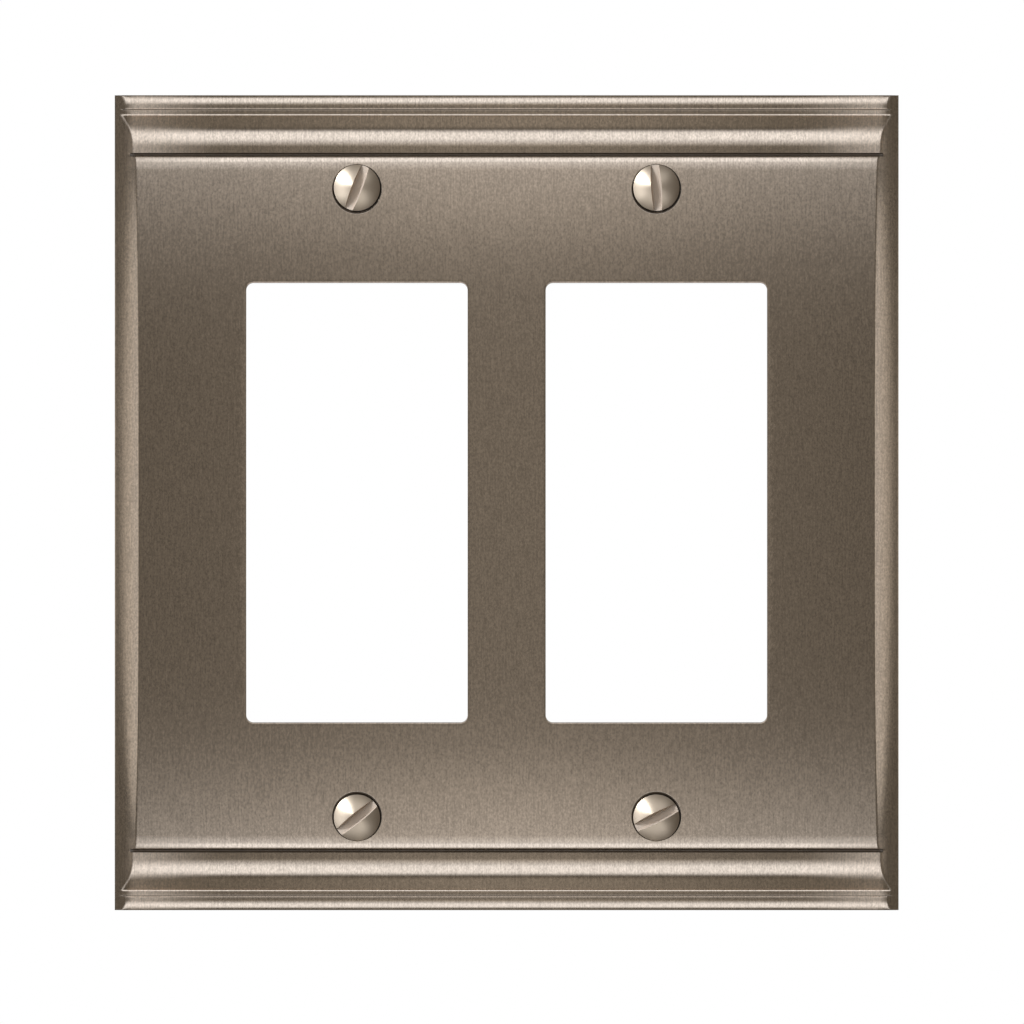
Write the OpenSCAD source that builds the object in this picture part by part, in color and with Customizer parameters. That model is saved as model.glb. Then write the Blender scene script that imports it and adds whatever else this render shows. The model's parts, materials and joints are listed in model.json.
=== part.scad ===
// Two-gang cover plate for rectangular-face devices, with its four oval-head screws.
// It stands as on a wall: +X to the right, +Z up, the front faces -Y.
// The origin is the centre of the back face, which lies on the wall.

/* [Plate] */
// Width of the plate
plate_w = 120.65; // [118:0.05:140]
// Height of the plate
plate_h = 125.4; // [122:0.05:145]
// Depth from the wall to the crown of the face
plate_depth = 6.8; // [6.4:0.1:9]
// Thickness of the cast wall behind the face and the side coves
wall = 1.8; // [1.2:0.1:2.2]
// Width of the rim that lies on the wall
rim_w = 1.8; // [1.2:0.1:2.6]

/* [Openings] */
// Distance between the centre lines of the two devices
gang_pitch = 46.04; // [44:0.01:50]
// Width of each device opening
opening_w = 34.04; // [30:0.01:36]
// Height of each device opening
opening_h = 67.55; // [60:0.01:72]
// Corner radius of the openings
opening_r = 1.1; // [0.4:0.1:4]

/* [Face] */
// Tilt of the face where it meets its rounded shoulder, in degrees
face_tilt = 3.8; // [1:0.1:5]
// Radius with which the face bends down towards its shoulder
ease_r = 16.5; // [12:0.5:20]
// Large radius of the shoulder round the face
shoulder_r = 2.7; // [2:0.1:4]
// Small radius of the shoulder's edge, at the groove
shoulder_edge_r = 0.2; // [0.1:0.05:0.8]

/* [Mouldings] */
// Distance from the plate's edge to the crest of the roll
roll_crest = 8; // [7.8:0.1:9]
// Radius of the roll
roll_r = 6; // [5.6:0.1:6.4]
// Depth of the roll's crest below the crown of the face
roll_drop = 2.3; // [1.9:0.05:2.6]
// Depth of the floor at the roll's foot below its crest
roll_depth = 2.15; // [2:0.05:2.4]
// Radius of the hollow between the roll and that floor
hollow_r = 0.5; // [0.2:0.1:0.8]
// Distance from the roll's crest to the groove
groove_offset = 0.9; // [0.6:0.05:1.2]
// Width of the groove between the roll and the face
groove_w = 0.55; // [0.4:0.05:0.9]
// Depth of the groove below the roll's crest
groove_depth = 0.65; // [0.3:0.05:0.9]
// Distance from the plate's edge to the inner side of the lip
lip_w = 2.15; // [2:0.05:2.4]
// Distance from the plate's edge to the crest of the lip
lip_crest = 1.55; // [1.2:0.05:1.8]
// Radius of the lip
lip_r = 2.8; // [2.4:0.1:4]
// Depth of the lip's crest below the roll's crest
lip_drop = 1.55; // [1.3:0.05:1.7]
// Radius of the lip's outer edge
lip_edge_r = 0.3; // [0.1:0.05:0.6]

/* [Side coves] */
// Width of the cove down each side
cove_w = 3.7; // [3:0.1:5]
// Height of the flat edge below the cove
cove_edge = 1.4; // [1:0.1:1.8]
// Angle that the cove's arc sweeps, in degrees
cove_sweep = 36; // [20:1:50]

/* [Screws] */
// Distance between the upper and the lower screws
screw_spacing = 96.84; // [92:0.01:100]
// Diameter of the screw heads
head_d = 7.1; // [6.6:0.1:8]
// Rise of the domed head above its rim
head_dome = 1.25; // [0.6:0.05:1.8]
// Height of the straight rim of the head
head_rim = 0.15; // [0.05:0.05:0.4]
// Included angle of the head's cone, in degrees
head_angle = 82; // [78:1:100]
// Depth of the head's rim below the face
head_sink = 0.1; // [0:0.05:0.5]
// Diameter of the plain neck under the head, as far as the back of the boss
neck_d = 2.9; // [2.4:0.1:3.2]
// Outside diameter of the screw thread
thread_d = 3.5; // [3.3:0.1:4]
// Length of the screw from its rim to its tip
screw_len = 12.7; // [9:0.1:20]
// Width of the driver slot at its floor
slot_w = 1.15; // [0.8:0.05:1.6]
// Draft of each wall of the driver slot, in degrees
slot_draft = 11; // [0:1:15]
// Depth of the driver slot below the top of the dome
slot_depth = 1.4; // [0.8:0.05:1.8]
// Gap round the head in its countersink
head_gap = 0.15; // [0.05:0.05:0.4]
// Gap round the thread in its hole
thread_gap = 0.25; // [0.1:0.05:0.6]
// Width of the boss wall round each screw hole
boss_wall = 3; // [1.5:0.1:4]
// Distance that each boss stops short of the wall
boss_clearance = 2.2; // [1:0.1:2.6]
// Slot direction of the upper left screw, in degrees above the horizontal
slot_upper_left = 69; // [0:1:179]
// Slot direction of the upper right screw
slot_upper_right = 94; // [0:1:179]
// Slot direction of the lower left screw
slot_lower_left = 39; // [0:1:179]
// Slot direction of the lower right screw
slot_lower_right = 26; // [0:1:179]

/* [Hidden] */
$fn = 64;

nickel = [0.66, 0.61, 0.55];
bright_nickel = [0.78, 0.74, 0.68];
past = 1; // how far a cut runs past the face that it cuts

half_w = plate_w / 2;
half_h = plate_h / 2;

// The moulding, as heights above the wall at distances from the plate's top or bottom edge
ease_turn = 8; // slope where the face meets its shoulder
shoulder_turn = 26; // slope where the shoulder's large radius meets its small one
roll_turn = 35; // slope of the flat slant between the roll and the hollow at its foot
step_r = 0.1; // radius of the corners on the lip's inner side
roll_top = plate_depth - roll_drop;
lip_top = roll_top - lip_drop;
foot_h = roll_top - roll_depth;
slant_drop = roll_depth - (roll_r + hollow_r) * (1 - cos(roll_turn));
foot_d = roll_crest - (roll_r + hollow_r) * sin(roll_turn) - slant_drop / tan(roll_turn);
groove_d = roll_crest + groove_offset;
groove_h = roll_top - groove_depth;
lip_turn = asin((lip_crest - lip_edge_r) / (lip_r - lip_edge_r));

// The face falls from its crown as a cubic, which an arc carries on to the shoulder's slope
face_power = 3;
shoulder_end = half_h - groove_d - groove_w;
face_half = shoulder_end - ease_r * (sin(ease_turn) - sin(face_tilt))
            - shoulder_r * (sin(shoulder_turn) - sin(ease_turn))
            - shoulder_edge_r * (1 - sin(shoulder_turn));
face_fall = tan(face_tilt) * face_half / face_power;
function face_height(y) = plate_depth - face_fall * pow(abs(y) / face_half, face_power);

// Points along an arc whose slope turns from turn_a to turn_b; a crest curves down, a hollow up
function crest(y, h, r, turn_a, turn_b, steps = 8) =
    [for (i = [0:steps]) let (t = turn_a + (turn_b - turn_a) * i / steps)
        [y + r * sin(t), h - r * (1 - cos(t))]];
function hollow(y, h, r, turn_a, turn_b, steps = 8) =
    [for (i = [0:steps]) let (t = turn_a + (turn_b - turn_a) * i / steps)
        [y - r * sin(t), h + r * (1 - cos(t))]];

// Where each of the arcs round the face would have its crest
ease_y = face_half - ease_r * sin(face_tilt);
ease_h = face_height(face_half) + ease_r * (1 - cos(face_tilt));
shoulder_y = ease_y + (ease_r - shoulder_r) * sin(ease_turn);
shoulder_h = ease_h - (ease_r - shoulder_r) * (1 - cos(ease_turn));
edge_y = shoulder_end - shoulder_edge_r;
edge_h = shoulder_h - (shoulder_r - shoulder_edge_r) * (1 - cos(shoulder_turn));
lip_edge_h = lip_top - (lip_r - lip_edge_r) * (1 - cos(lip_turn));

// Upper half of the front, from the crown of the face to the plate's top edge
face_steps = 24;
front_half = concat(
    [for (i = [0:face_steps]) let (y = face_half * i / face_steps) [y, face_height(y)]],
    crest(ease_y, ease_h, ease_r, face_tilt, ease_turn),
    crest(shoulder_y, shoulder_h, shoulder_r, ease_turn, shoulder_turn),
    crest(edge_y, edge_h, shoulder_edge_r, shoulder_turn, 90),
    hollow(half_h - groove_d - groove_w / 2, groove_h, groove_w / 2, 90, -90, 12),
    [[half_h - groove_d, roll_top]],
    crest(half_h - roll_crest, roll_top, roll_r, 0, roll_turn, 16),
    hollow(half_h - foot_d, foot_h, hollow_r, roll_turn, 0),
    hollow(half_h - lip_w - step_r, foot_h, step_r, 0, -90, 4),
    crest(half_h - lip_w + step_r, lip_top, step_r, -90, 0, 4),
    crest(half_h - lip_crest, lip_top, lip_r, 0, lip_turn),
    crest(half_h - lip_edge_r, lip_edge_h, lip_edge_r, lip_turn, 90));

// Each side's cove is one arc from the flat edge up to the crown of the face
cove_rise = plate_depth - cove_edge;
cove_slope = atan(cove_rise / cove_w);
cove_r = norm([cove_w, cove_rise]) / (2 * sin(cove_sweep / 2));
cove_start = cove_slope - cove_sweep / 2;
cove_end = cove_slope + cove_sweep / 2;
cove_steps = 16;
function cove(inset) = [for (i = [0:cove_steps]) let (t = cove_start + cove_sweep * i / cove_steps)
    [half_w - cove_r * (sin(t) - sin(cove_start)) - inset * sin(t),
     cove_edge + cove_r * (cos(cove_start) - cos(t)) - inset * cos(t)]];
function carried_on(points, slope, reach) =
    concat(points, [points[len(points) - 1] + reach * [-cos(slope), sin(slope)]]);

// The hollow back: under the mouldings it is a shelf, under the face it follows the face
shelf_wall = 0.8 * wall;
shelf_h = groove_h - shelf_wall;
shelf_in = half_h - groove_d - groove_w - shelf_wall / 2;
shelf_out = half_h - roll_crest + wall;
pocket_half = shelf_in - wall;
pocket_steps = 12;
pocket_profile = concat(
    [for (i = [0:pocket_steps]) let (y = pocket_half * i / pocket_steps) [y, face_height(y) - wall]],
    [[shelf_in, shelf_h], [shelf_out, shelf_h], [half_h - rim_w - shelf_wall / 4, 0],
     [half_h - rim_w - shelf_wall / 4, -past]]);

// The screws
head_r = head_d / 2;
neck_r = neck_d / 2;
thread_r = thread_d / 2;
screw_y = screw_spacing / 2;
head_h = face_height(screw_y) - head_sink;
cone_h = (head_r - neck_r) / tan(head_angle / 2);
thread_end = head_h - boss_clearance; // the thread starts this far behind the head's rim
lead_h = thread_r - neck_r; // the thread's first turn fades out over this length
dome_r = (head_r * head_r + head_dome * head_dome) / (2 * head_dome);
tip_h = 0.3 * thread_d;
thread_root = 0.8; // share of the thread's radius that is left at the tip
boss_r = thread_r + thread_gap + boss_wall;

function mirrored(points) =
    concat(points, [for (i = [len(points) - 1:-1:0]) [-points[i][0], points[i][1]]]);

// Turns the plate, made lying on its back with its front up, to stand against the wall
module stand_up() {
    rotate([90, 0, 0])
        children();
}

module along_x(length) {
    rotate([90, 0, 90])
        linear_extrude(height = length, center = true)
            children();
}

module along_y(length) {
    rotate([90, 0, 0])
        linear_extrude(height = length, center = true)
            children();
}

module front_outline() {
    polygon(mirrored(concat(front_half, [[half_h, 0]])));
}

module side_outline() {
    polygon(mirrored(concat([[half_w, 0]], carried_on(cove(0), cove_end, past))));
}

module body() {
    intersection() {
        along_x(plate_w)
            front_outline();
        along_y(plate_h)
            side_outline();
    }
}

module pocket() {
    intersection() {
        along_x(plate_w - 2 * rim_w)
            polygon(mirrored(pocket_profile));
        along_y(plate_h)
            polygon(mirrored(concat([[half_w, -past]], carried_on(cove(wall), cove_end, past))));
    }
}

module opening() {
    along = plate_depth + 2 * past;
    translate([0, 0, -past]) {
        linear_extrude(height = along) {
            square([opening_w - 2 * opening_r, opening_h], center = true);
            square([opening_w, opening_h - 2 * opening_r], center = true);
            for (sx = [-1, 1], sy = [-1, 1])
                translate([sx * (opening_w / 2 - opening_r), sy * (opening_h / 2 - opening_r)])
                    circle(r = opening_r);
        }
    }
}

module boss() {
    translate([0, 0, boss_clearance])
        cylinder(r = boss_r, h = head_h - wall / 2 - boss_clearance);
}

module screw_hole() {
    cone_r = head_r + head_gap;
    flare = past * tan(head_angle / 2);
    translate([0, 0, -past])
        cylinder(r = thread_r + thread_gap, h = head_h + past);
    translate([0, 0, head_h - cone_r / tan(head_angle / 2)])
        cylinder(r1 = 0, r2 = cone_r + flare, h = cone_r / tan(head_angle / 2) + past);
}

module at_screws() {
    for (sx = [-1, 1], sy = [-1, 1])
        translate([sx * gang_pitch / 2, sy * screw_y, 0])
            children();
}

module cover_plate() {
    color(nickel)
        stand_up()
            difference() {
                union() {
                    difference() {
                        body();
                        pocket();
                    }
                    at_screws()
                        boss();
                }
                for (sx = [-1, 1])
                    translate([sx * gang_pitch / 2, 0, 0])
                        opening();
                at_screws()
                    screw_hole();
            }
}

module head() {
    intersection() {
        translate([0, 0, head_rim + head_dome - dome_r])
            sphere(r = dome_r);
        cylinder(r = head_r, h = head_rim + head_dome);
    }
    translate([0, 0, -cone_h])
        cylinder(r1 = neck_r, r2 = head_r, h = cone_h);
}

// The thread is a cylinder of its outside diameter with a pointed end; the plain neck runs on
// through it as its core, and up into the head
module shank() {
    thread_h = screw_len - tip_h - thread_end - lead_h;
    translate([0, 0, -screw_len])
        cylinder(r1 = thread_root * thread_r, r2 = thread_r, h = tip_h);
    translate([0, 0, -screw_len + tip_h])
        cylinder(r = thread_r, h = thread_h);
    translate([0, 0, -screw_len + tip_h + thread_h])
        cylinder(r1 = thread_r, r2 = neck_r, h = lead_h);
    translate([0, 0, -screw_len + tip_h / 2])
        cylinder(r = neck_r, h = screw_len - tip_h / 2 - cone_h / 2);
}

module driver_slot() {
    height = slot_depth + past;
    flare = height * tan(slot_draft);
    translate([0, 0, head_rim + head_dome - slot_depth])
        along_x(head_d + past)
            polygon([[-slot_w / 2, 0], [slot_w / 2, 0],
                     [slot_w / 2 + flare, height], [-slot_w / 2 - flare, height]]);
}

// One screw, with its rim at the seat height and its slot turned to the given angle
module screw(side, level, slot_angle) {
    color(bright_nickel)
        stand_up()
            translate([side * gang_pitch / 2, level * screw_y, head_h])
                rotate([0, 0, slot_angle])
                    difference() {
                        union() {
                            head();
                            shank();
                        }
                        driver_slot();
                    }
}

module screw_upper_left() {
    screw(-1, 1, slot_upper_left);
}

module screw_upper_right() {
    screw(1, 1, slot_upper_right);
}

module screw_lower_left() {
    screw(-1, -1, slot_lower_left);
}

module screw_lower_right() {
    screw(1, -1, slot_lower_right);
}

cover_plate();
screw_upper_left();
screw_upper_right();
screw_lower_left();
screw_lower_right();
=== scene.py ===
# A two-gang wall plate of brushed nickel with its four slotted screws, in a plain studio.
# It stands as on a wall: +X to the right, +Z up, the front faces -Y and the back lies at y = 0.
import json
import math

import bmesh
import bpy
import numpy as np
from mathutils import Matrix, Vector
from mathutils.geometry import delaunay_2d_cdt


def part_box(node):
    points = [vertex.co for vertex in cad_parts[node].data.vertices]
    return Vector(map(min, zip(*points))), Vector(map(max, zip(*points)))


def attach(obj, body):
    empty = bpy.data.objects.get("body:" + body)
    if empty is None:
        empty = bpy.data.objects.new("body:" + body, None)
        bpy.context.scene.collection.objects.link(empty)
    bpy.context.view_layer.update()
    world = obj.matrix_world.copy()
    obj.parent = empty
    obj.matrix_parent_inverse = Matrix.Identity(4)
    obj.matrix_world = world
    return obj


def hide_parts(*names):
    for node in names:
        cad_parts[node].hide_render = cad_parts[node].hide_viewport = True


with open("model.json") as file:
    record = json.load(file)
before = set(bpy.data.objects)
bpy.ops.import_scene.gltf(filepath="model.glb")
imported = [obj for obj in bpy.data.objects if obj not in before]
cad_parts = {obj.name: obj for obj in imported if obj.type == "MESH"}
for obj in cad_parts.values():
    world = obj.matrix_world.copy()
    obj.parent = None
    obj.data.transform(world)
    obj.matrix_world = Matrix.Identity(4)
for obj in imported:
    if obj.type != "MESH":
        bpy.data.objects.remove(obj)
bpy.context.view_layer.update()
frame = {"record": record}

MM = 0.001

# ---- Sizes of the plate, as heights above the wall and distances from its edges ----------------
plate_lo, plate_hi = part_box("cover_plate")
HALF_W, HALF_H, DEPTH = plate_hi.x, plate_hi.z, -plate_lo.y
PATTERN = next(m for m in frame["record"]["mounts"] if m["name"] == "device_screws")["dims"]
SCREW_X = PATTERN["spacing_x_mm"] * MM / 2
SCREW_Z = PATTERN["spacing_y_mm"] * MM / 2

WALL = 1.8 * MM
RIM_W = 1.8 * MM
OPENING_W, OPENING_H, OPENING_R = 34.04 * MM, 67.55 * MM, 1.1 * MM

FACE_TILT = 3.8  # degrees, where the crowned face meets its shoulder
FACE_POWER = 3  # the crown falls off with this power of the distance from the middle
EASE_R, EASE_TURN = 16.5 * MM, 8
SHOULDER_R, SHOULDER_EDGE_R, SHOULDER_TURN = 2.7 * MM, 0.2 * MM, 26
ROLL_CREST, ROLL_R, ROLL_DROP, ROLL_TURN = 8 * MM, 6 * MM, 2.3 * MM, 35
ROLL_DEPTH, HOLLOW_R = 2.15 * MM, 0.5 * MM
GROOVE_OFFSET, GROOVE_W, GROOVE_DEPTH = 0.9 * MM, 0.55 * MM, 0.65 * MM
LIP_W, LIP_CREST, LIP_R, LIP_DROP, LIP_EDGE_R = 2.15 * MM, 1.55 * MM, 2.8 * MM, 1.55 * MM, 0.3 * MM
STEP_R = 0.1 * MM
COVE_W, COVE_EDGE, COVE_SWEEP = 3.7 * MM, 1.4 * MM, math.radians(36)

ARRIS = 0.5 * MM  # depth over which the edge between front and cove is worn round
EDGE_R = 0.12 * MM  # radius of the broken edges of the openings and the sides
COUNTERSINK_EDGE = 0.08 * MM  # over how much height the face blends into each countersink

# ---- Sizes of the screws -----------------------------------------------------------------------
HEAD_R = 7.1 / 2 * MM
HEAD_DOME, HEAD_RIM, HEAD_SINK, HEAD_ANGLE = 1.25 * MM, 0.15 * MM, 0.1 * MM, 82
HEAD_GAP, THREAD_GAP = 0.15 * MM, 0.25 * MM
NECK_R, THREAD_R, THREAD_ROOT_R = 2.9 / 2 * MM, 3.5 / 2 * MM, 2.7 / 2 * MM
PITCH = 25.4 / 32 * MM
SCREW_LEN = 12.7 * MM
SLOT_W, SLOT_DEPTH, SLOT_DRAFT = 1.15 * MM, 1.4 * MM, 11
SLOT_TURNS = {
    "screw_upper_left": 69,
    "screw_upper_right": 94,
    "screw_lower_left": 39,
    "screw_lower_right": 26,
}

# ---- Sizes of the cast back --------------------------------------------------------------------
BOSS_WALL, BOSS_CLEARANCE, BOSS_FILLET = 3 * MM, 2.2 * MM, 0.7 * MM
HOLE_R = THREAD_R + THREAD_GAP
BOSS_R = HOLE_R + BOSS_WALL
CAST_FILLET = 0.9 * MM

BRUSHED, CAST, PAINTED_SHADE = 0, 1, 2  # the plate's finishes: on show, at the back, and a dark painted shade in the grooves, at the lip's foot and in the countersinks


# ---- Shapes ------------------------------------------------------------------------------------
def arc(z, h, r, turn_a, turn_b, steps, bend=1):
    """Points along an arc whose slope turns from turn_a to turn_b.

    bend is 1 on a crest and -1 in a hollow.
    """
    t = np.radians(np.linspace(turn_a, turn_b, steps + 1))
    return np.column_stack([z + bend * r * np.sin(t), h - bend * r * (1 - np.cos(t))])


def front_profile():
    """Upper half of the front, as points of height above the wall from the middle to the top edge."""
    roll_top = DEPTH - ROLL_DROP
    lip_top = roll_top - LIP_DROP
    lean = math.radians(ROLL_TURN)
    slant_drop = ROLL_DEPTH - (ROLL_R + HOLLOW_R) * (1 - math.cos(lean))
    foot_d = ROLL_CREST - (ROLL_R + HOLLOW_R) * math.sin(lean) - slant_drop / math.tan(lean)
    foot_h = roll_top - ROLL_DEPTH
    groove_d, groove_h = ROLL_CREST + GROOVE_OFFSET, roll_top - GROOVE_DEPTH
    lip_turn = math.degrees(math.asin((LIP_CREST - LIP_EDGE_R) / (LIP_R - LIP_EDGE_R)))
    lip_edge_h = lip_top - (LIP_R - LIP_EDGE_R) * (1 - math.cos(math.radians(lip_turn)))

    tilt, ease, turn = (math.radians(a) for a in (FACE_TILT, EASE_TURN, SHOULDER_TURN))
    shoulder_end = HALF_H - groove_d - GROOVE_W
    face_half = (shoulder_end - EASE_R * (math.sin(ease) - math.sin(tilt))
                 - SHOULDER_R * (math.sin(turn) - math.sin(ease)) - SHOULDER_EDGE_R * (1 - math.sin(turn)))
    face_z = np.linspace(0, face_half, 27)
    face_h = DEPTH - math.tan(tilt) * face_half / FACE_POWER * (face_z / face_half) ** FACE_POWER
    ease_z = face_half - EASE_R * math.sin(tilt)
    ease_h = face_h[-1] + EASE_R * (1 - math.cos(tilt))
    shoulder_z = ease_z + (EASE_R - SHOULDER_R) * math.sin(ease)
    shoulder_h = ease_h - (EASE_R - SHOULDER_R) * (1 - math.cos(ease))
    edge_h = shoulder_h - (SHOULDER_R - SHOULDER_EDGE_R) * (1 - math.cos(turn))

    points = np.vstack([
        np.column_stack([face_z, face_h]),
        arc(ease_z, ease_h, EASE_R, FACE_TILT, EASE_TURN, 6),
        arc(shoulder_z, shoulder_h, SHOULDER_R, EASE_TURN, SHOULDER_TURN, 10),
        arc(shoulder_end - SHOULDER_EDGE_R, edge_h, SHOULDER_EDGE_R, SHOULDER_TURN, 90, 10),
        arc(HALF_H - groove_d - GROOVE_W / 2, groove_h, GROOVE_W / 2, 90, -90, 14, -1),
        [[HALF_H - groove_d, roll_top]],
        arc(HALF_H - ROLL_CREST, roll_top, ROLL_R, 0, ROLL_TURN, 26),
        arc(HALF_H - foot_d, foot_h, HOLLOW_R, ROLL_TURN, 0, 8, -1),
        arc(HALF_H - LIP_W - STEP_R, foot_h, STEP_R, 0, -90, 5, -1),
        arc(HALF_H - LIP_W + STEP_R, lip_top, STEP_R, -90, 0, 5),
        arc(HALF_H - LIP_CREST, lip_top, LIP_R, 0, lip_turn, 12),
        arc(HALF_H - LIP_EDGE_R, lip_edge_h, LIP_EDGE_R, lip_turn, 90, 8),
    ])
    apart = np.linalg.norm(np.diff(points, axis=0), axis=1) > 1e-7
    return points[np.append(True, apart)], face_half


PROFILE, FACE_HALF = front_profile()

COVE_SLOPE = math.atan2(DEPTH - COVE_EDGE, COVE_W)
COVE_START, COVE_END = COVE_SLOPE - COVE_SWEEP / 2, COVE_SLOPE + COVE_SWEEP / 2
COVE_R = math.hypot(COVE_W, DEPTH - COVE_EDGE) / (2 * math.sin(COVE_SWEEP / 2))


def cove_height(d, inset=0.0):
    """Height of the cove at a distance d in from the side edge, or of a surface inset behind it."""
    r = COVE_R + inset
    reach = r * math.sin(COVE_END) - COVE_R * math.sin(COVE_START)
    t = np.arcsin((np.minimum(d, reach) + COVE_R * math.sin(COVE_START)) / r)
    beyond = np.maximum(d - reach, 0) * math.tan(COVE_END)
    return COVE_EDGE + COVE_R * math.cos(COVE_START) - r * np.cos(t) + beyond


def cove_distance(h):
    """Distance in from the side edge at which the cove reaches the height h."""
    t = math.acos(math.cos(COVE_START) - (h - COVE_EDGE) / COVE_R)
    return COVE_R * (math.sin(t) - math.sin(COVE_START))


def smooth_min(a, b, blend):
    near = np.maximum(blend - np.abs(a - b), 0) / blend
    return np.minimum(a, b) - near ** 2 * blend / 4


def edge_drop(d, r):
    """How far a quarter-round edge of radius r has dropped at a distance d in from it."""
    d = np.clip(d, 0, r)
    return r - np.sqrt(r * r - (r - d) ** 2)


class Cutout:
    """A rounded rectangle through the plate, or a circle where its corners are all that it has."""

    def __init__(self, x, z, half_w, half_h, r, corner_steps, side_step=2 * MM):
        self.x, self.z, self.half_w, self.half_h, self.r = x, z, half_w, half_h, r
        self.corner_steps, self.side_step = corner_steps, side_step

    def distance(self, x, z):
        """Distance outside the outline, negative inside it."""
        qx = np.abs(x - self.x) - (self.half_w - self.r)
        qz = np.abs(z - self.z) - (self.half_h - self.r)
        outside = np.hypot(np.maximum(qx, 0), np.maximum(qz, 0))
        return outside + np.minimum(np.maximum(qx, qz), 0) - self.r

    def outline(self, d):
        """The outline moved out by d, as a closed loop of points."""
        arcs = []
        for quarter, (sx, sz) in enumerate([(1, 1), (-1, 1), (-1, -1), (1, -1)]):
            a = np.radians(90 * quarter + np.linspace(0, 90, self.corner_steps + 1))
            arcs.append(np.column_stack([
                self.x + sx * (self.half_w - self.r) + (self.r + d) * np.cos(a),
                self.z + sz * (self.half_h - self.r) + (self.r + d) * np.sin(a)]))
        loop = []
        for this, following in zip(arcs, arcs[1:] + arcs[:1]):
            gap = following[0] - this[-1]
            parts = int(round(np.linalg.norm(gap) / self.side_step))
            loop.extend(this if parts else this[:-1])
            loop.extend(this[-1] + gap * i / parts for i in range(1, parts))
        return np.array(loop)


OPENINGS = [Cutout(sx * SCREW_X, 0, OPENING_W / 2, OPENING_H / 2, OPENING_R, 8) for sx in (-1, 1)]
SCREW_HOLES = [Cutout(sx * SCREW_X, sz * SCREW_Z, HOLE_R, HOLE_R, HOLE_R, 24)
               for sx in (-1, 1) for sz in (-1, 1)]


def profile_height(z):
    return np.interp(np.abs(z), PROFILE[:, 0], PROFILE[:, 1])


HEAD_H = float(profile_height(SCREW_Z)) - HEAD_SINK
HEAD_SPREAD = math.tan(math.radians(HEAD_ANGLE / 2))


def countersink_height(rho):
    return HEAD_H + (rho - HEAD_R - HEAD_GAP) / HEAD_SPREAD


def face_height(x, z):
    """Height of the face between its shoulders, with its openings' broken edges and its countersinks."""
    h = profile_height(z)
    for opening in OPENINGS:
        h = h - edge_drop(opening.distance(x, z), EDGE_R)
    for hole in SCREW_HOLES:
        rho = np.hypot(x - hole.x, z - hole.z)
        h = smooth_min(h, countersink_height(rho), COUNTERSINK_EDGE)
    return h


def pocket_profile():
    """Points of the hollow back over its upper half: it follows the face, then comes a shelf."""
    groove_end = HALF_H - ROLL_CREST - GROOVE_OFFSET - GROOVE_W
    shelf_wall = 0.8 * WALL
    shelf_h = DEPTH - ROLL_DROP - GROOVE_DEPTH - shelf_wall
    shelf_in = groove_end - shelf_wall / 2
    z = np.linspace(0, shelf_in - WALL, 30)
    return np.vstack([
        np.column_stack([z, profile_height(z) - WALL]),
        [[shelf_in, shelf_h], [HALF_H - ROLL_CREST + WALL, shelf_h],
         [HALF_H - RIM_W - shelf_wall / 4, 0], [HALF_H, 0]]])


POCKET = pocket_profile()


def back_height(x, z):
    """Height of the cast back above the wall, with its rim and bosses."""
    across = np.linspace(-CAST_FILLET / 2, CAST_FILLET / 2, 7)
    h = np.mean([np.interp(np.abs(z) + a, POCKET[:, 0], POCKET[:, 1]) for a in across], axis=0)
    side = HALF_W - np.abs(x)
    h = smooth_min(h, np.where(side > RIM_W, cove_height(side, WALL), 0), CAST_FILLET)
    h = np.where(side > RIM_W, np.maximum(h, 0), 0)
    for hole in SCREW_HOLES:
        rho = np.hypot(x - hole.x, z - hole.z)
        foot = h - edge_drop(rho - BOSS_R, BOSS_FILLET)
        top = BOSS_CLEARANCE + edge_drop(BOSS_R - rho, EDGE_R) + edge_drop(rho - HOLE_R, EDGE_R)
        h = np.where(rho > BOSS_R + EDGE_R / 4, foot, top)
    for opening in OPENINGS:
        h = h + edge_drop(opening.distance(x, z), 2 * EDGE_R)
    return h


def rounding(r, steps=4):
    """Distances in from an edge that resolve its rounding."""
    return r * (1 - np.sin(np.linspace(math.pi / 2, 0, steps)))


def triangulate(free, loops, holes):
    """Flat points and triangles over free points and closed loops, with nothing inside the holes."""
    points, edges = [Vector(p) for p in free / MM], []
    for loop in loops:
        start, count = len(points), len(loop)
        points += [Vector(p) for p in loop / MM]
        edges += [(start + i, start + (i + 1) % count) for i in range(count)]
    flat, _, faces, *_ = delaunay_2d_cdt(points, edges, [], 0, 1e-5)
    flat, faces = np.array(flat) * MM, np.array(faces)
    middle = flat[faces].mean(axis=1)
    keep = np.all([hole.distance(*middle.T) > 0 for hole in holes], axis=0)
    return flat, faces[keep]


def clear_of(points, shapes, margin):
    return points[np.all([s.distance(*points.T) > margin for s in shapes], axis=0)]


MERGED = 0.5e-3 * MM  # corners that are closer than this become one


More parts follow.
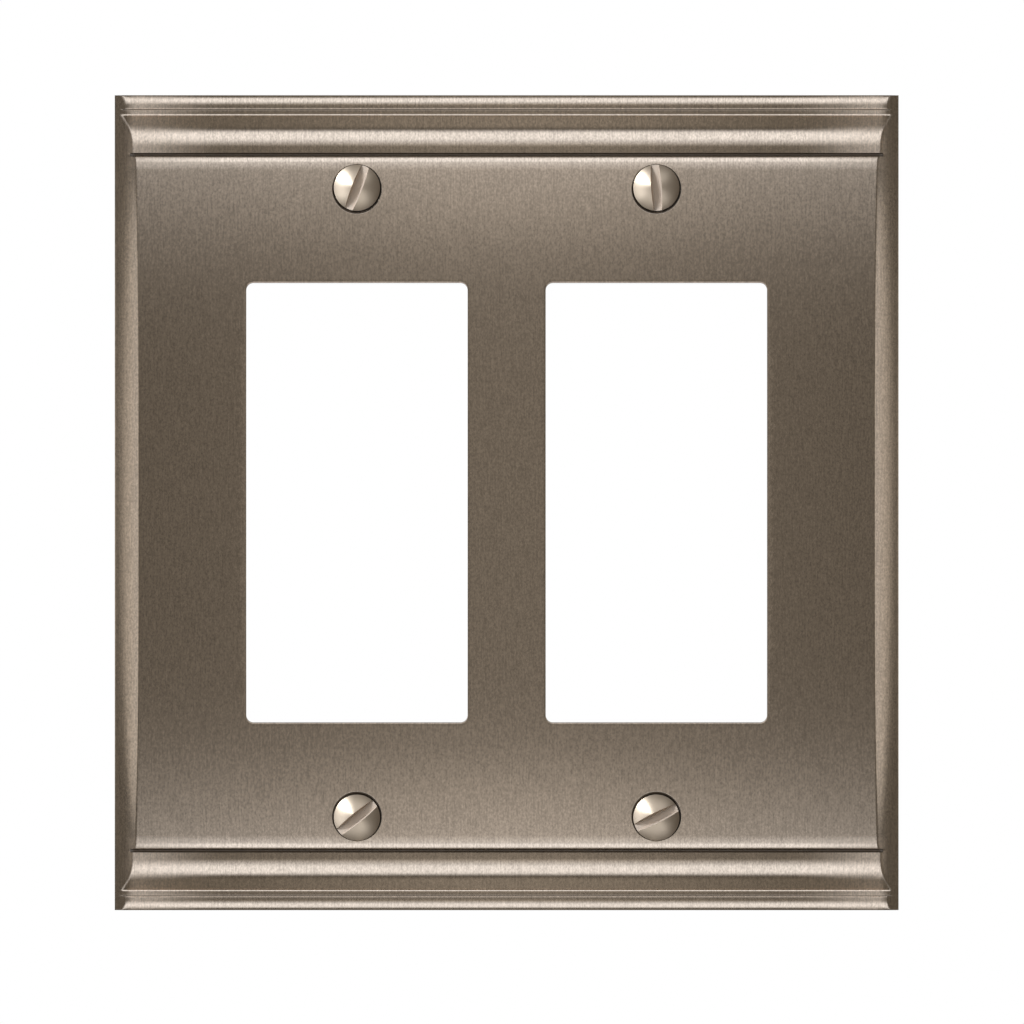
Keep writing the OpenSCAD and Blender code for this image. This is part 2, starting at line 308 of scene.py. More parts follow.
class Shell:
    """Collects the faces of one closed piece, whose shared corners merge when it is made."""

    def __init__(self):
        self.points, self.faces, self.finishes = [], [], []

    def add(self, points, faces, finish):
        start = len(self.points)
        self.points.extend(np.asarray(points).tolist())
        self.faces.extend((np.asarray(faces) + start).tolist())
        self.finishes.extend(np.broadcast_to(finish, len(faces)).tolist())

    def add_grid(self, grid, finish):
        """Adds a grid of points; its finish may differ from face to face."""
        rows, columns = grid.shape[:2]
        corner = np.arange(rows * columns).reshape(rows, columns)
        faces = np.stack([corner[:-1, :-1], corner[:-1, 1:], corner[1:, 1:], corner[1:, :-1]], axis=-1)
        finish = np.broadcast_to(finish, (rows - 1, columns - 1))
        self.add(grid.reshape(-1, 3), faces.reshape(-1, 4), finish.ravel())

    def add_band(self, loop_a, loop_b, finish):
        """A band of faces between two closed loops of as many points."""
        grid = np.stack([loop_a, loop_b])
        self.add_grid(np.concatenate([grid, grid[:, :1]], axis=1), finish)

    def make(self, name, materials):
        mesh = bpy.data.meshes.new(name)
        mesh.from_pydata(self.points, [], self.faces)
        for material in materials:
            mesh.materials.append(material)
        mesh.polygons.foreach_set("material_index", self.finishes)
        bm = bmesh.new()
        bm.from_mesh(mesh)
        bmesh.ops.remove_doubles(bm, verts=bm.verts, dist=MERGED)
        bmesh.ops.dissolve_degenerate(bm, edges=bm.edges, dist=MERGED)
        bmesh.ops.recalc_face_normals(bm, faces=bm.faces)
        bm.to_mesh(mesh)
        bm.free()
        mesh.shade_smooth()
        mesh.set_sharp_from_angle(angle=math.radians(40))
        piece = bpy.data.objects.new(name, mesh)
        bpy.context.scene.collection.objects.link(piece)
        return piece


def standing(x, z, h):
    """Points at the height h in front of the wall."""
    return np.stack(np.broadcast_arrays(x, -np.asarray(h), z), axis=-1)


# ---- The plate ---------------------------------------------------------------------------------
SIDE_BAND = 5.2 * MM  # from the side edge to well inside the edge between cove and face
SHOULDER_BAND = 0.9 * MM  # how far the rows that belong to the face run on over its shoulder
HOLE_BAND = 0.9 * MM  # the strip round each hole that is left to the hole's own rings of points


def side_distances(h):
    """Distances in from the side edge of a row of the front at height h, closest where it turns."""
    arris = cove_distance(h)
    turn = np.linspace(-0.32, 0.24, 11) * MM
    return np.concatenate([
        rounding(EDGE_R),
        np.linspace(EDGE_R, arris + turn[0], 15)[1:-1],
        arris + turn,
        np.linspace(arris + turn[-1], SIDE_BAND, 6)[1:],
    ])


def front_rows():
    """The front's rows of points over all of the plate's height, with columns that fit the coves."""
    upper = PROFILE[1:]
    rows = np.vstack([upper[::-1] * (-1, 1), PROFILE])
    middle = np.linspace(-HALF_W + SIDE_BAND, HALF_W - SIDE_BAND, 25)[1:-1]
    grid = []
    for z, h in rows:
        d = side_distances(h)
        side_h = smooth_min(h, cove_height(d), ARRIS) - edge_drop(d, EDGE_R)
        x = np.concatenate([d - HALF_W, middle, (HALF_W - d)[::-1]])
        grid.append(standing(x, z, np.concatenate([side_h, np.full(len(middle), h), side_h[::-1]])))
    return np.array(grid)


def front_finishes(rows):
    """The finish of each face between the rows: a dark painted shade in the groove and at the foot of the
    lip.
    """
    middle = (rows[:-1, :-1] + rows[1:, 1:]) / 2
    edge = HALF_H - np.abs(middle[:, :, 2])
    groove = (edge > ROLL_CREST + GROOVE_OFFSET) & (edge < ROLL_CREST + GROOVE_OFFSET + GROOVE_W)
    step = (edge > LIP_W) & (edge < LIP_W + STEP_R)
    clear = cove_height(HALF_W - np.abs(middle[:, :, 0])) > profile_height(middle[:, :, 2]) + ARRIS / 4
    return np.where((groove | step) & clear, PAINTED_SHADE, BRUSHED)


def countersink_mouth(hole, turn):
    """Radius at which the countersink meets the face, at each turn round the hole."""
    rho = np.full_like(turn, HEAD_R + HEAD_GAP)
    for _ in range(20):
        h = profile_height(hole.z + rho * np.sin(turn))
        rho = HEAD_R + HEAD_GAP + (h - HEAD_H) * HEAD_SPREAD
    return rho


def face_finishes(flat, faces):
    """The finish of each face between the shoulders: a dark painted shade in the countersinks."""
    middle = flat[np.array(faces)].mean(axis=1)
    sunk = np.zeros(len(middle), dtype=bool)
    for hole in SCREW_HOLES:
        away = middle - (hole.x, hole.z)
        mouth = countersink_mouth(hole, np.arctan2(away[:, 1], away[:, 0]))
        sunk |= np.hypot(*away.T) < mouth + COUNTERSINK_EDGE / 2
    return np.where(sunk, PAINTED_SHADE, BRUSHED)


def face_points(columns, rows):
    """Free points and loops that the face is made over: its grid, and rings that resolve each edge."""
    grid = np.stack(np.meshgrid(columns[1:-1], rows[1:-1]), axis=-1).reshape(-1, 2)
    free = [clear_of(grid, OPENINGS + SCREW_HOLES, HOLE_BAND)]
    loops = []
    for opening in OPENINGS:
        loops += [opening.outline(d) for d in rounding(EDGE_R)]
        free.append(opening.outline(0.5 * MM))
    for hole in SCREW_HOLES:
        turn = np.radians(np.linspace(0, 360, 4 * hole.corner_steps, endpoint=False))
        mouth = countersink_mouth(hole, turn)
        free[0] = free[0][np.hypot(*(free[0] - (hole.x, hole.z)).T) > HEAD_R + 1.2 * MM]
        steps = [np.full_like(turn, rho) for rho in np.linspace(HOLE_R, HEAD_R - 0.3 * MM, 4)[1:]]
        steps += [mouth + d for d in np.linspace(-0.1, 0.1, 9) * MM]
        steps += [mouth + d for d in (0.3 * MM, 0.6 * MM)]
        across, aloft = np.cos(turn), np.sin(turn)
        rings = [np.column_stack([hole.x + rho * across, hole.z + rho * aloft]) for rho in steps]
        loops.append(hole.outline(0))
        free += [ring[np.abs(ring[:, 1]) < rows[-1] - 0.1 * MM] for ring in rings]
    edge = np.concatenate([
        np.column_stack([columns[:-1], np.full(len(columns) - 1, rows[0])]),
        np.column_stack([np.full(len(rows) - 1, columns[-1]), rows[:-1]]),
        np.column_stack([columns[:0:-1], np.full(len(columns) - 1, rows[-1])]),
        np.column_stack([np.full(len(rows) - 1, columns[0]), rows[:0:-1]]),
    ])
    return np.vstack(free), loops + [edge]


def back_points(rim):
    """Free points and loops that the cast back is made over, inside the rim's loop."""
    curved = 7 * MM  # from the side edge to where the back is nearly flat
    side_step, end_step = 0.3 * MM, 0.4 * MM
    side = np.concatenate([
        [0.9 * MM, RIM_W, RIM_W + 0.04 * MM],
        np.arange(RIM_W + side_step, curved, side_step),
    ])
    flat = np.linspace(curved - HALF_W, HALF_W - curved, 71)
    columns = np.concatenate([side - HALF_W, flat, (HALF_W - side)[::-1]])
    ends = np.arange(SCREW_Z + end_step, HALF_H - 0.5 * MM, end_step)
    upper = np.concatenate([np.linspace(0, SCREW_Z, 21), ends])
    rows = np.concatenate([-upper[:0:-1], upper])
    grid = np.stack(np.meshgrid(columns, rows), axis=-1).reshape(-1, 2)
    free = [clear_of(grid, OPENINGS, HOLE_BAND)]
    loops = [rim]
    for opening in OPENINGS:
        loops += [opening.outline(d) for d in rounding(2 * EDGE_R)]
    for hole in SCREW_HOLES:
        keep_off = BOSS_R + BOSS_FILLET + 0.3 * MM - HOLE_R
        free[0] = clear_of(free[0], [hole], keep_off)
        boss = BOSS_R - HOLE_R
        edges = np.concatenate([rounding(EDGE_R), boss - rounding(EDGE_R)[::-1],
                                boss + EDGE_R / 3 + rounding(BOSS_FILLET, 6), [boss / 2]])
        loops += [hole.outline(d) for d in edges]
    return np.vstack(free), loops


def outer_loop(rows):
    """The front's outer edge as a closed loop of points, each once."""
    loop = np.concatenate([rows[0, :-1], rows[:-1, -1], rows[-1, :0:-1], rows[:0:-1, 0]])
    apart = np.linalg.norm(loop - np.roll(loop, 1, axis=0), axis=1) > 1e-3 * MM
    return loop[apart]


def build_plate(finishes):
    shell = Shell()
    rows = front_rows()
    middle = rows.shape[0] // 2
    reach = int(np.searchsorted(PROFILE[:, 0], FACE_HALF + SHOULDER_BAND))
    low, high = middle - reach, middle + reach
    left = int(np.argmin(np.abs(rows[middle, :, 0] + HALF_W - SIDE_BAND)))
    right = rows.shape[1] - 1 - left
    finish = front_finishes(rows)
    shell.add_grid(rows[:low + 1], finish[:low])
    shell.add_grid(rows[high:], finish[high:])
    shell.add_grid(rows[low:high + 1, :left + 1], BRUSHED)
    shell.add_grid(rows[low:high + 1, right:], BRUSHED)

    free, loops = face_points(rows[middle, left:right + 1, 0], rows[low:high + 1, 0, 2])
    flat, faces = triangulate(free, loops, OPENINGS + SCREW_HOLES)
    shell.add(standing(flat[:, 0], flat[:, 1], face_height(*flat.T)), faces, face_finishes(flat, faces))

    edge = outer_loop(rows)
    free, loops = back_points(edge[:, [0, 2]])
    flat, faces = triangulate(free, loops, OPENINGS + SCREW_HOLES)
    shell.add(standing(flat[:, 0], flat[:, 1], back_height(*flat.T)), faces, CAST)

    shell.add_band(edge, edge * (1, 0, 1), BRUSHED)
    for cutout in OPENINGS + SCREW_HOLES:
        x, z = cutout.outline(0).T
        shell.add_band(standing(x, z, face_height(x, z)), standing(x, z, back_height(x, z)), BRUSHED)
    plate = shell.make("nickel_plate", finishes)
    lay_brush_direction(plate.data)
    return plate


def lay_brush_direction(mesh):
    """A UV map whose U runs level across the front, which is across the brush marks."""
    lean = 0.3  # keeps the map from vanishing on faces that are edge-on to the front
    corners = np.empty(len(mesh.loops), dtype=np.int32)
    mesh.loops.foreach_get("vertex_index", corners)
    points = np.empty(len(mesh.vertices) * 3)
    mesh.vertices.foreach_get("co", points)
    x, y, z = points.reshape(-1, 3)[corners].T
    layer = mesh.uv_layers.new(name="brush")
    layer.data.foreach_set("uv", np.column_stack([x + lean * y, z + lean * y]).ravel() / (2 * HALF_H))


# ---- The screws, from one tree of geometry nodes ------------------------------------------------
CUTTER_L, CUTTER_H = 12 * MM, 4 * MM  # the slot's cutter, longer and higher than the head


class Nodes:
    """Adds nodes to a tree and joins their sockets."""

    def __init__(self, tree):
        self.tree = tree

    def add(self, kind, inputs=None, **settings):
        node = self.tree.nodes.new(kind)
        for name, value in settings.items():
            setattr(node, name, value)
        for key, value in (inputs or {}).items():
            socket = node.inputs[key]
            if isinstance(value, bpy.types.NodeSocket):
                self.tree.links.new(value, socket)
            else:
                socket.default_value = value
        return node

    def math(self, operation, a, b=0.0):
        return self.add("ShaderNodeMath", {0: a, 1: b}, operation=operation).outputs[0]


def screw_profile():
    """The screw's outline from its dome to its tip, as radius and height above the head's rim."""
    dome_r = (HEAD_R ** 2 + HEAD_DOME ** 2) / (2 * HEAD_DOME)
    rim_turn = math.degrees(math.asin(HEAD_R / dome_r))
    cone_h = (HEAD_R - NECK_R) / HEAD_SPREAD
    thread_top, tip = BOSS_CLEARANCE - HEAD_H, -SCREW_LEN
    thread = np.arange(thread_top, tip, -PITCH / 8)
    return np.vstack([
        arc(0, HEAD_RIM + HEAD_DOME, dome_r, 0, rim_turn, 20),
        [[HEAD_R, 0.02 * MM], [HEAD_R - 0.02 * MM, -0.02 * MM]],
        [[NECK_R + 0.1 * MM, -cone_h + 0.1 * MM], [NECK_R, -cone_h - 0.1 * MM]],
        np.column_stack([np.full(len(thread), THREAD_R), thread]),
        [[THREAD_R, tip], [0, tip]],
    ])


def screw_tree(smooth, milled):
    """A slotted oval-head screw: its profile is turned round, its thread cut and its head slotted."""
    tree = bpy.data.node_groups.new("slotted_screw", "GeometryNodeTree")
    for name, kind in (("Profile", "NodeSocketGeometry"), ("Around", "NodeSocketInt"),
                       ("Slot turn", "NodeSocketFloat"), ("Thread start", "NodeSocketFloat"),
                       ("Thread end", "NodeSocketFloat"), ("Pitch", "NodeSocketFloat"),
                       ("Thread depth", "NodeSocketFloat"), ("Slot width", "NodeSocketFloat"),
                       ("Slot floor", "NodeSocketFloat"), ("Slot flare", "NodeSocketFloat"),
                       ("Place", "NodeSocketVector")):
        tree.interface.new_socket(name, in_out="INPUT", socket_type=kind)
    tree.interface.new_socket("Geometry", in_out="OUTPUT", socket_type="NodeSocketGeometry")
    n = Nodes(tree)
    given = n.add("NodeGroupInput").outputs

    size = n.add("GeometryNodeAttributeDomainSize", {"Geometry": given["Profile"]}, component="MESH")
    count = size.outputs["Point Count"]
    sheet = n.add("GeometryNodeMeshGrid", {
        "Size X": 1.0, "Size Y": 1.0,
        "Vertices X": n.math("ADD", given["Around"], 1), "Vertices Y": count})
    index = n.add("GeometryNodeInputIndex").outputs[0]
    step = n.math("FLOOR", n.math("DIVIDE", n.math("ADD", index, 0.5), count))
    row = n.math("SUBTRACT", index, n.math("MULTIPLY", step, count))
    turn = n.math("MULTIPLY", n.math("DIVIDE", step, given["Around"]), math.tau)
    place = n.add("GeometryNodeInputPosition").outputs[0]
    sample = n.add("GeometryNodeSampleIndex", {"Geometry": given["Profile"], "Value": place, "Index": row},
                   data_type="FLOAT_VECTOR")
    radius, _, height = n.add("ShaderNodeSeparateXYZ", {0: sample.outputs[0]}).outputs

    # The thread is a wave that climbs one pitch a turn and fades out at both ends of the thread.
    wave = n.math("PINGPONG", n.math("SUBTRACT", n.math("DIVIDE", height, given["Pitch"]),
                                     n.math("DIVIDE", turn, math.tau)), 0.5)
    cut = n.math("MULTIPLY", n.math("MINIMUM", n.math("MULTIPLY", wave, 2.5), 1.0), given["Thread depth"])
    from_start = n.math("DIVIDE", n.math("SUBTRACT", given["Thread start"], height), given["Pitch"])
    from_end = n.math("DIVIDE", n.math("SUBTRACT", height, given["Thread end"]), given["Pitch"])
    fade = n.add("ShaderNodeClamp", {"Value": n.math("MINIMUM", from_start, from_end)}).outputs[0]
    in_thread = n.math("GREATER_THAN", n.math("MINIMUM", from_start, from_end), -0.01)
    shallow = n.math("MULTIPLY", n.math("SUBTRACT", 1.0, fade), given["Thread depth"])
    lead = n.math("MULTIPLY", shallow, in_thread)
    groove = n.math("MULTIPLY", n.math("MULTIPLY", cut, fade), in_thread)
    turned = n.math("MAXIMUM", n.math("SUBTRACT", n.math("SUBTRACT", radius, groove), lead), 0.0)
    at = n.add("ShaderNodeCombineXYZ", {
        0: n.math("MULTIPLY", turned, n.math("COSINE", turn)),
        1: n.math("MULTIPLY", turned, n.math("SINE", turn)), 2: height})
    body = n.add("GeometryNodeSetPosition", {"Geometry": sheet.outputs[0], "Position": at.outputs[0]})
    body = n.add("GeometryNodeMergeByDistance", {"Geometry": body.outputs[0], "Distance": 1e-3 * MM})

    # The cutter's flat faces lean out by the flare for each unit of height.
    cutter = n.add("GeometryNodeMeshCube", {"Size": (1.0, 1.0, 1.0), "Vertices X": 2, "Vertices Y": 2})
    x, y, z = n.add("ShaderNodeSeparateXYZ", {0: n.add("GeometryNodeInputPosition").outputs[0]}).outputs
    rise = n.math("MULTIPLY", n.math("ADD", z, 0.5), CUTTER_H)
    flare = n.math("MULTIPLY", n.math("MULTIPLY", rise, given["Slot flare"]), 2)
    wide = n.math("ADD", given["Slot width"], flare)
    at = n.add("ShaderNodeCombineXYZ", {
        0: n.math("MULTIPLY", x, CUTTER_L), 1: n.math("MULTIPLY", y, wide),
        2: n.math("ADD", given["Slot floor"], rise)})
    cutter = n.add("GeometryNodeSetPosition", {"Geometry": cutter.outputs[0], "Position": at.outputs[0]})
    body = n.add("GeometryNodeSetMaterial", {"Geometry": body.outputs[0], "Material": smooth})
    cutter = n.add("GeometryNodeSetMaterial", {"Geometry": cutter.outputs[0], "Material": milled})
    slotted = n.add("GeometryNodeMeshBoolean", {"Mesh 1": body.outputs[0], "Mesh 2": cutter.outputs[0]},
                    operation="DIFFERENCE", solver="EXACT")

    aligned = n.add("GeometryNodeTransform", {
        "Geometry": slotted.outputs[0],
        "Rotation": n.add("ShaderNodeCombineXYZ", {2: given["Slot turn"]}).outputs[0]})
    placed = n.add("GeometryNodeTransform", {
        "Geometry": aligned.outputs[0], "Rotation": (math.pi / 2, 0, 0), "Translation": given["Place"]})
    real = n.add("GeometryNodeRealizeInstances", {0: placed.outputs[0]})
    out = n.add("NodeGroupOutput")
    tree.links.new(real.outputs[0], out.inputs[0])
    return tree


def build_screws(smooth, milled):
    profile = screw_profile()
    tree = screw_tree(smooth, milled)
    given = [item for item in tree.interface.items_tree if item.in_out == "INPUT"]
    tree_sockets = {item.name: item.identifier for item in given}
    screws = {}
    for node, turn in SLOT_TURNS.items():
        lo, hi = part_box(node)
        mesh = bpy.data.meshes.new(node + "_profile")
        mesh.from_pydata([(r, 0, h) for r, h in profile], [], [])
        holder = bpy.data.objects.new(node + "_profile", mesh)
        bpy.context.scene.collection.objects.link(holder)
        modifier = holder.modifiers.new("slotted_screw", "NODES")
        modifier.node_group = tree
        for name, value in {
            "Around": 72,
            "Slot turn": math.radians(turn),
            "Thread start": BOSS_CLEARANCE - HEAD_H,
            "Thread end": -SCREW_LEN,
            "Pitch": PITCH,
            "Thread depth": THREAD_R - THREAD_ROOT_R,
            "Slot width": SLOT_W,
            "Slot floor": HEAD_DOME + HEAD_RIM - SLOT_DEPTH,
            "Slot flare": math.tan(math.radians(SLOT_DRAFT)),
            "Place": ((lo.x + hi.x) / 2, -HEAD_H, (lo.z + hi.z) / 2),
        }.items():
            modifier[tree_sockets[name]] = value
        bpy.context.view_layer.update()
        evaluated = holder.evaluated_get(bpy.context.evaluated_depsgraph_get())
        made = bpy.data.meshes.new_from_object(evaluated)
        made.name = "slotted_" + node
        made.shade_smooth()
        made.set_sharp_from_angle(angle=math.radians(35))
        bpy.data.objects.remove(holder)
        screw = bpy.data.objects.new("slotted_" + node, made)
        bpy.context.scene.collection.objects.link(screw)
        screws[node] = screw
    return screws


# ---- Finishes ----------------------------------------------------------------------------------
def new_material(name):
    material = bpy.data.materials.new(name)
    material.use_nodes = True
    n = Nodes(material.node_tree)
    shader = next(node for node in n.tree.nodes if node.type == "BSDF_PRINCIPLED")
    return material, n, shader


def noise(n, place, scale, detail, name):
    """Grain stretched by scale, in marks per metre along each axis."""
    spread = n.add("ShaderNodeVectorMath", {0: place, 1: scale}, operation="MULTIPLY", name=name)
    return n.add("ShaderNodeTexNoise", {"Vector": spread.outputs[0], "Scale": 1.0, "Detail": detail,
                                        "Roughness": 0.55}).outputs["Fac"]


def ramp(n, value, start, end, low=0.0, high=1.0):
    """A soft step from low to high between two values."""
    step = n.add("ShaderNodeMapRange", {"Value": value, "From Min": start, "From Max": end,
                                        "To Min": low, "To Max": high}, interpolation_type="SMOOTHSTEP")
    return step.outputs[0]


def tint_with(n, shader, colour, shade):
    """Gives the shader the colour, made lighter or darker by the shade."""
    tint = n.add("ShaderNodeVectorMath", {0: colour, "Scale": shade}, operation="SCALE")
    n.tree.links.new(tint.outputs[0], shader.inputs["Base Color"])


RUB_START, RUB_FULL = 42 * MM, 60 * MM  # from the plate's middle, where the mouldings' ends are rubbed rougher and painted paler as a highlight
RUB_FADE, RUB_STOP = 57.2 * MM, 59 * MM  # the coves beyond them aren't
SHEEN_GAIN = 0.3  # how much paler the painted highlight makes the metal there, as a share of its colour


def brushed_nickel():
    """Nickel with fine upright brush marks, a little rougher at the mouldings' ends, where a painted
    highlight also makes its colour paler.
    """
    material, n, shader = new_material("satin_nickel")
    place = n.add("ShaderNodeTexCoord").outputs["Object"]
    fine = noise(n, place, (3800, 400, 2600), 1, "short_marks")
    streak = noise(n, place, (4200, 300, 300), 1, "long_marks")
    marks = n.math("ADD", n.math("MULTIPLY", fine, 0.65), n.math("MULTIPLY", streak, 0.35))
    shade = n.add("ShaderNodeMapRange", {"Value": marks, "From Min": 0.3, "From Max": 0.7,
                                         "To Min": 0.76, "To Max": 1.24})
    x, _, z = n.add("ShaderNodeSeparateXYZ", {0: place}).outputs
    aside, aloft = n.math("ABSOLUTE", x), n.math("ABSOLUTE", z)
    near_end = ramp(n, aside, RUB_START, RUB_FULL)
    ends = n.math("MULTIPLY", near_end, ramp(n, aside, RUB_FADE, RUB_STOP, 1, 0))
    worn_and_sheen = n.math("MULTIPLY", ends, ramp(n, aloft, FACE_HALF, FACE_HALF + 1 * MM))
    groove = HALF_H - ROLL_CREST - GROOVE_OFFSET
    # Painted highlight: beyond the groove the mouldings' ends get a paler colour, standing in for their
    # wider highlights.
    painted_sheen = n.math("MULTIPLY", worn_and_sheen, ramp(n, aloft, groove - GROOVE_W, groove))
    sheen_factor = n.math("ADD", n.math("MULTIPLY", painted_sheen, SHEEN_GAIN), 1)
    tint_with(n, shader, (0.56, 0.448, 0.34), n.math("MULTIPLY", shade.outputs[0], sheen_factor))
    shader.inputs["Metallic"].default_value = 1.0
    for name, plain, worn in (("Roughness", 0.25, 0.42), ("Anisotropic", 0.85, 0.3)):
        finish = n.add("ShaderNodeMapRange", {"Value": worn_and_sheen, "To Min": plain, "To Max": worn})
        n.tree.links.new(finish.outputs[0], shader.inputs[name])
    tangent = n.add("ShaderNodeTangent", direction_type="UV_MAP", uv_map="brush")
    n.tree.links.new(tangent.outputs[0], shader.inputs["Tangent"])
    return material


def cast_nickel():
    """The plated casting's skin at the back, as it left the mould."""
    material, n, shader = new_material("cast_nickel")
    place = n.add("ShaderNodeTexCoord").outputs["Object"]
    grain = noise(n, place, (900, 900, 900), 3, "cast_grain")
    shade = n.add("ShaderNodeMapRange", {"Value": grain, "To Min": 0.85, "To Max": 1.1})
    tint_with(n, shader, (0.46, 0.42, 0.37), shade.outputs[0])
    bump = n.add("ShaderNodeBump", {"Strength": 0.3, "Distance": 0.05 * MM, "Height": grain})
    n.tree.links.new(bump.outputs[0], shader.inputs["Normal"])
    shader.inputs["Metallic"].default_value = 1.0
    shader.inputs["Roughness"].default_value = 0.45
    return material


def shade_painted_nickel():
    """Painted shade: a dark nickel colour in the grooves, at the lip's foot and in the countersinks, where
    shade falls.
    """
    material, _, shader = new_material("shade_painted_nickel")
    shader.inputs["Base Color"].default_value = (0.17, 0.14, 0.11, 1)
    shader.inputs["Metallic"].default_value = 1.0
    shader.inputs["Roughness"].default_value = 0.5
    return material


def turned_nickel():
    """The screws' satin nickel, with marks that run round the axis."""
    material, n, shader = new_material("screw_nickel")
    shader.inputs["Base Color"].default_value = (0.485, 0.38, 0.27, 1)
    shader.inputs["Metallic"].default_value = 1.0
    shader.inputs["Roughness"].default_value = 0.42
    shader.inputs["Anisotropic"].default_value = 0.6
    shader.inputs["Anisotropic Rotation"].default_value = 0.25
    tangent = n.add("ShaderNodeTangent", direction_type="RADIAL", axis="Y")
    n.tree.links.new(tangent.outputs[0], shader.inputs["Tangent"])
    return material


def milled_nickel():
    """The slots' scratched sides and floor, rough enough to scatter light evenly."""
    material, _, shader = new_material("milled_nickel")
    shader.inputs["Base Color"].default_value = (0.42, 0.325, 0.235, 1)
    shader.inputs["Roughness"].default_value = 0.6
    return material


# ---- The studio --------------------------------------------------------------------------------
LIGHT_LEVEL, SKIRT_LEVEL = 1.27, 0.29  # the long lights and the faint skirt at their near edges
LIGHT_TINT, ROOM_TINT = (0.9, 1.0, 1.17, 1), (1.07, 1.0, 0.88, 1)
ROOM_LEVEL, BACK_LEVEL = 0.125, 0.22  # the dim room, and its pale back as the metal mirrors it
SKIRT_EDGE, RISE_EDGE, FALL_EDGE = (4, 9.5), (6, 28), (43, 56)  # degrees above or below level
LEFT_END, RIGHT_END = (-0.92, -0.7), (0.35, 0.65)  # where the long lights end, as sideways directions
FLOOR_LEVEL, FLOOR_DROP, FLOOR_REACH = 0.5, 0.7, 4.0  # its glow, depth and half width
CAMERA_DISTANCE, FRAMED_WIDTH, CAMERA_SHIFT = 4.0, 157.4 * MM, (0.0052, -0.0091)


def add_world():
    """Long soft lights above and below the camera, in a dim room with a pale back."""
    world = bpy.data.worlds.new("studio")
    bpy.context.scene.world = world
    world.use_nodes = True
    world.node_tree.nodes.clear()
    n = Nodes(world.node_tree)
    aim = n.add("ShaderNodeTexCoord").outputs["Generated"]
    x, y, z = n.add("ShaderNodeSeparateXYZ", {0: aim}).outputs
    slope = n.math("ABSOLUTE", n.math("ARCTAN2", z, n.math("MULTIPLY", y, -1)))

    skirt = ramp(n, slope, *map(math.radians, SKIRT_EDGE), 0, SKIRT_LEVEL)
    rise = ramp(n, slope, *map(math.radians, RISE_EDGE), 0, LIGHT_LEVEL)
    fall = ramp(n, slope, *map(math.radians, FALL_EDGE), 1, 0)
    ends = n.math("MULTIPLY", ramp(n, x, *LEFT_END), ramp(n, x, *RIGHT_END, 1, 0))
    bands = n.math("MULTIPLY", n.math("MULTIPLY", n.math("ADD", rise, skirt), fall), ends)
    bright = n.add("ShaderNodeBackground", {"Color": LIGHT_TINT, "Strength": bands}).outputs[0]
    dim = n.add("ShaderNodeBackground", {"Color": ROOM_TINT, "Strength": ROOM_LEVEL}).outputs[0]
    front = n.add("ShaderNodeAddShader", {0: bright, 1: dim}).outputs[0]
    seen = n.add("ShaderNodeLightPath").outputs["Is Camera Ray"]
    behind = ramp(n, y, 0.1, 0.6)
    level = n.add("ShaderNodeMix", {"Factor": seen, "A": BACK_LEVEL, "B": 1.0}, data_type="FLOAT")
    white = n.add("ShaderNodeBackground", {"Color": (1, 1, 1, 1), "Strength": level.outputs[0]}).outputs[0]
    room = n.add("ShaderNodeMixShader", {0: n.math("MAXIMUM", seen, behind), 1: front, 2: white})
    out = n.add("ShaderNodeOutputWorld")
    n.tree.links.new(room.outputs[0], out.inputs["Surface"])


def add_near_lamp(name, aim, distance, width, height, radiance, lit=None):
    """A soft lamp that faces the plate's middle from the given direction.

    With lit, a collection, it has the long lights' tint and lights only the pieces in there.
    """
    lamp = bpy.data.lights.new(name, "AREA")
    lamp.shape = "ELLIPSE"
    lamp.size, lamp.size_y = width, height
    lamp.energy = radiance * math.pi * (math.pi / 4 * width * height)
    rig = bpy.data.objects.new(name, lamp)
    aim = Vector(aim).normalized()
    rig.location = aim * distance
    rig.rotation_euler = aim.to_track_quat("Z", "Y").to_euler()
    rig.visible_camera = False
    if lit:
        lamp.color = LIGHT_TINT[:3]
        rig.light_linking.receiver_collection = lit
    bpy.context.scene.collection.objects.link(rig)


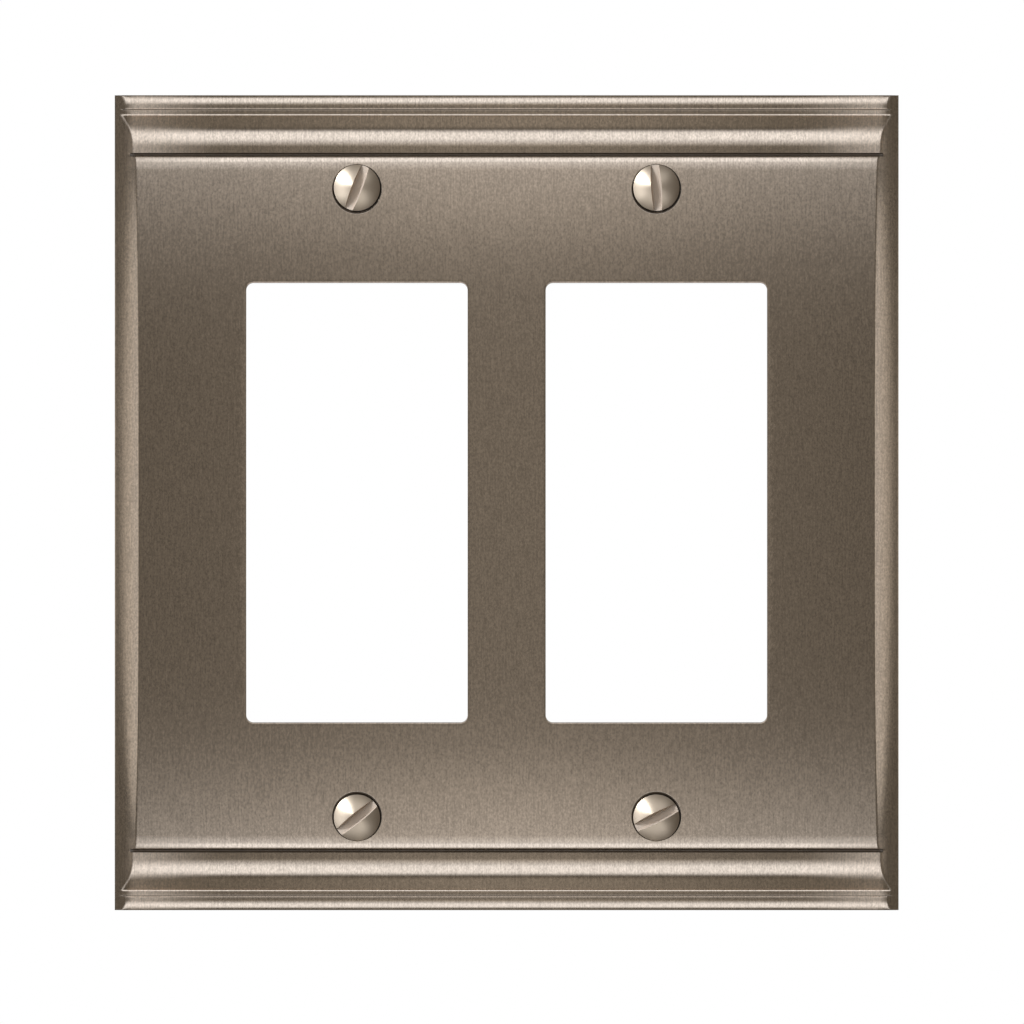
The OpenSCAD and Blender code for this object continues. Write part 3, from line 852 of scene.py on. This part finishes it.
def add_floor():
    """A wide sheet of pale paper that glows a little to the camera and isn't mirrored in the metal."""
    mesh = bpy.data.meshes.new("floor")
    corners = [(x * FLOOR_REACH, y * FLOOR_REACH, 0) for x, y in ((-1, -1), (1, -1), (1, 1), (-1, 1))]
    mesh.from_pydata(corners, [], [(0, 1, 2, 3)])
    material, n, shader = new_material("floor_paper")
    shader.inputs["Base Color"].default_value = (0.85, 0.85, 0.84, 1)
    shader.inputs["Roughness"].default_value = 0.8
    shader.inputs["Emission Color"].default_value = (1, 1, 1, 1)
    seen = n.add("ShaderNodeLightPath").outputs["Is Camera Ray"]
    n.tree.links.new(n.math("MULTIPLY", seen, FLOOR_LEVEL), shader.inputs["Emission Strength"])
    mesh.materials.append(material)
    floor = bpy.data.objects.new("floor", mesh)
    floor.location = (0, 0, -FLOOR_DROP)
    floor.visible_glossy = False
    bpy.context.scene.collection.objects.link(floor)


def add_camera():
    camera = bpy.data.cameras.new("camera")
    camera.sensor_width = 36
    camera.lens = camera.sensor_width * CAMERA_DISTANCE / FRAMED_WIDTH
    camera.shift_x, camera.shift_y = CAMERA_SHIFT
    camera.clip_start, camera.clip_end = 0.01, 10
    rig = bpy.data.objects.new("camera", camera)
    rig.location = (0, -CAMERA_DISTANCE - DEPTH, 0)
    rig.rotation_euler = (math.radians(90), 0, 0)
    bpy.context.scene.collection.objects.link(rig)
    bpy.context.scene.camera = rig


# The third finish is the dark painted shade for the grooves, the lip's foot and the countersinks.
plate = build_plate([brushed_nickel(), cast_nickel(), shade_painted_nickel()])
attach(plate, "plate")
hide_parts("cover_plate")

screws_only = bpy.data.collections.new("screws_only")
for node, screw in build_screws(turned_nickel(), milled_nickel()).items():
    screws_only.objects.link(screw)
    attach(screw, node)
    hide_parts(node)

add_world()
# Each lamp has its direction, distance, width, height and radiance; the last two light the screws alone.
add_near_lamp("front_lamp", (0, -1, 0), 0.17, 0.06, 0.2, 0.18)
add_near_lamp("upper_lamp", (0, -0.2, 0.084), 0.217, 0.06, 0.06, 0.33)
add_near_lamp("lower_lamp", (0, -0.2, -0.084), 0.217, 0.06, 0.06, 0.38)
add_near_lamp("top_lamp", (0, -0.25, 1), 0.25, 0.06, 0.1, 0.4)
add_near_lamp("bottom_lamp", (0, -0.25, -1), 0.25, 0.06, 0.1, 0.4)
add_near_lamp("left_lamp", (-0.9, 0.43, 0), 0.2, 0.18, 0.1, 0.55)
add_near_lamp("right_lamp", (0.9, 0.43, 0), 0.2, 0.18, 0.1, 0.55)
add_near_lamp("key_lamp", (-0.62, -0.6, 0.5), 0.7, 0.18, 0.18, 75, screws_only)
add_near_lamp("glow_lamp", (-0.8, -0.6, -0.05), 0.7, 0.5, 0.6, 2.4, screws_only)
add_floor()
add_camera()

bpy.context.scene.view_settings.view_transform = "Standard"
